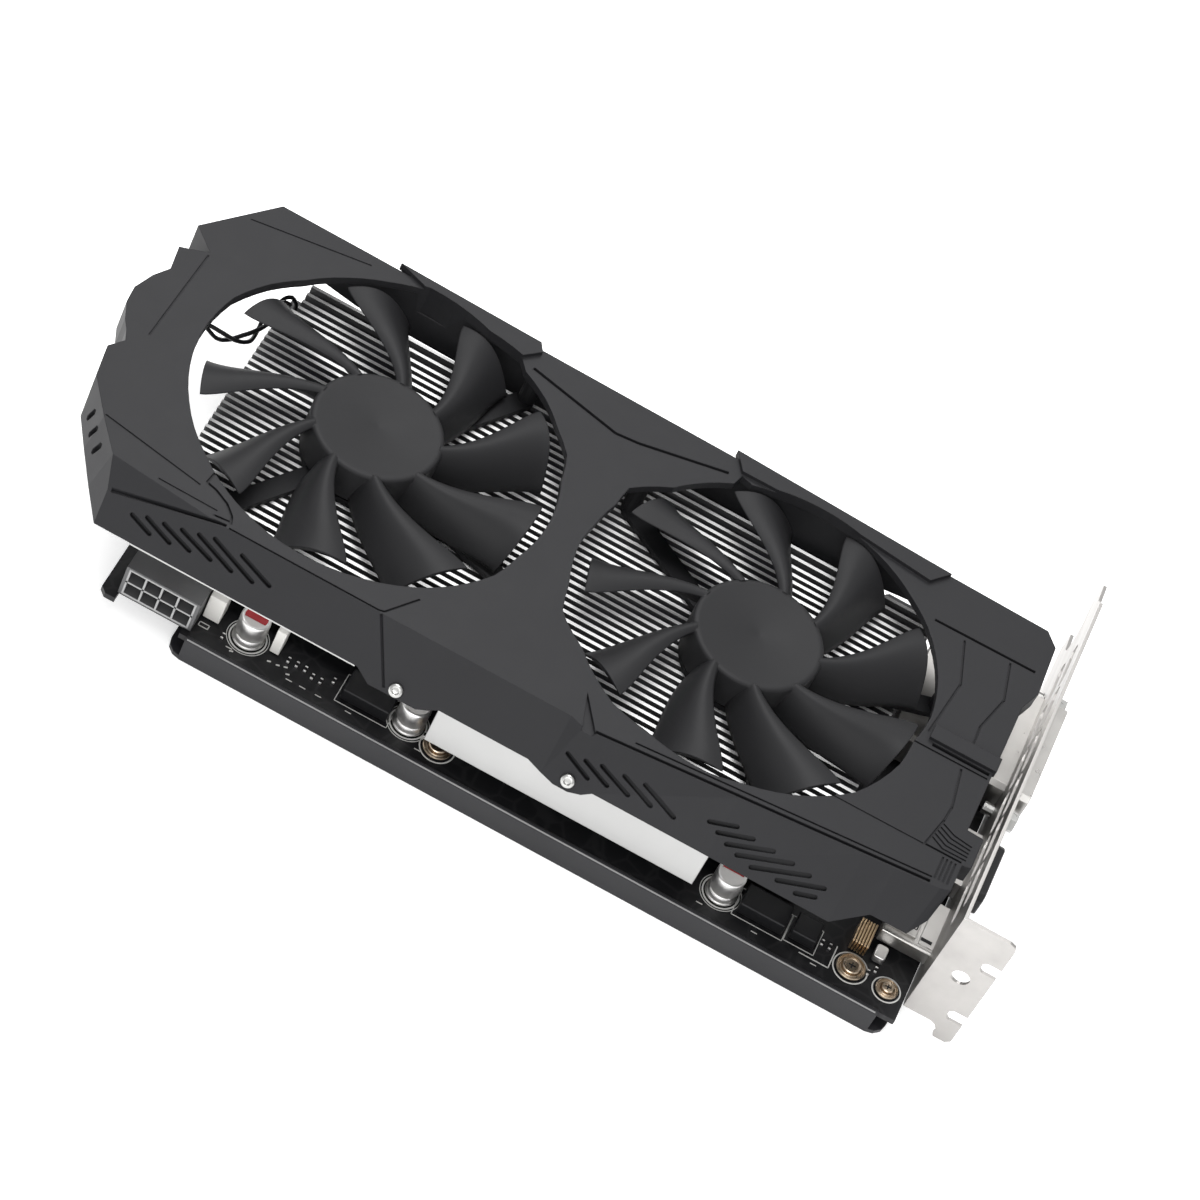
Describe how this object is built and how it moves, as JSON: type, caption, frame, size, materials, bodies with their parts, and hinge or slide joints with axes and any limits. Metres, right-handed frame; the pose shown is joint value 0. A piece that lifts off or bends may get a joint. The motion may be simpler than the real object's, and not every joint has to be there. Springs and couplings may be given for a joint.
{
  "type": "graphics card",
  "caption": "Graphics card with axial fans set in a faceted shroud over a finned heat sink, on a circuit board with a backplate and a slot bracket.",
  "frame": {"origin": "bottom centre of the bounding box, on the plane the card rests on", "axes": "+X along the card towards the slot bracket, +Y towards the edge contacts, +Z out of the fans"},
  "size_m": [0.2486, 0.1324, 0.0427],
  "materials": {
    "shroud_plastic": "fine matt grain",
    "fan_plastic": "satin",
    "frame_plastic": "matt",
    "steel": "plated",
    "bracket_steel": "satin plate",
    "fin_aluminium": "bare sheet",
    "copper": "bare copper",
    "coil_copper": "enamelled winding",
    "board": "satin solder mask",
    "backplate": "satin black",
    "connector_plastic": "moulded",
    "header_plastic": "moulded, off-white",
    "shell_metal": "bright plate",
    "chip": "moulded",
    "substrate": "satin",
    "silicon": "polished",
    "can_aluminium": "drawn can",
    "gold": "plated",
    "wire": "insulated wire"
  },
  "bodies": {
    "card": {"backplate": "backplate", "board_screw_corner": "gold", "board_screw_left": "gold", "board_screw_right": "gold", "capacitor_left": "can_aluminium", "capacitor_middle": "can_aluminium", "capacitor_right": "can_aluminium", "choke_front_left": "chip", "choke_front_middle": "chip", "choke_front_right": "chip", "choke_inner_1": "chip", "choke_inner_2": "chip", "choke_inner_3": "chip", "choke_inner_4": "chip", "circuit_board": "board", "displayport_connector": "shell_metal", "displayport_dust_cap": "connector_plastic", "dvi_connector": "shell_metal", "dvi_nut_back": "steel", "dvi_nut_front": "steel", "fan_header_left": "header_plastic", "fan_header_right": "header_plastic", "fan_lead_a": "wire", "fan_lead_b": "wire", "fan_left_frame": "frame_plastic", "fan_left_stator": "coil_copper", "fan_right_frame": "frame_plastic", "fan_right_stator": "coil_copper", "fan_shroud": "shroud_plastic", "filter_coil": "gold", "gpu_die": "silicon", "gpu_substrate": "substrate", "hdmi_connector": "shell_metal", "heat_pipe_back": "copper", "heat_pipe_front": "copper", "heat_sink_cold_plate": "copper", "heat_sink_fins": "fin_aluminium", "io_bracket": "bracket_steel", "memory_chip_1": "chip", "memory_chip_2": "chip", "memory_chip_3": "chip", "memory_chip_4": "chip", "memory_chip_5": "chip", "memory_chip_6": "chip", "oscillator": "can_aluminium", "power_connector": "connector_plastic", "shroud_screw_left": "steel", "shroud_screw_right": "steel", "spring_screw_1": "steel", "spring_screw_2": "steel", "spring_screw_3": "steel", "spring_screw_4": "steel"},
    "fan_left": {"fan_left_rotor": "fan_plastic", "fan_left_shaft": "steel"},
    "fan_right": {"fan_right_rotor": "fan_plastic", "fan_right_shaft": "steel"}
  },
  "joints": [
    {"name": "fan_left_spin", "type": "hinge", "parent": "card", "child": "fan_left", "pos_m": [-0.05925, -0.00685, 0.0356], "axis": [0, 0, 1], "continuous": true},
    {"name": "fan_right_spin", "type": "hinge", "parent": "card", "child": "fan_right", "pos_m": [0.04095, -0.00725, 0.0356], "axis": [0, 0, 1], "continuous": true}
  ]
}
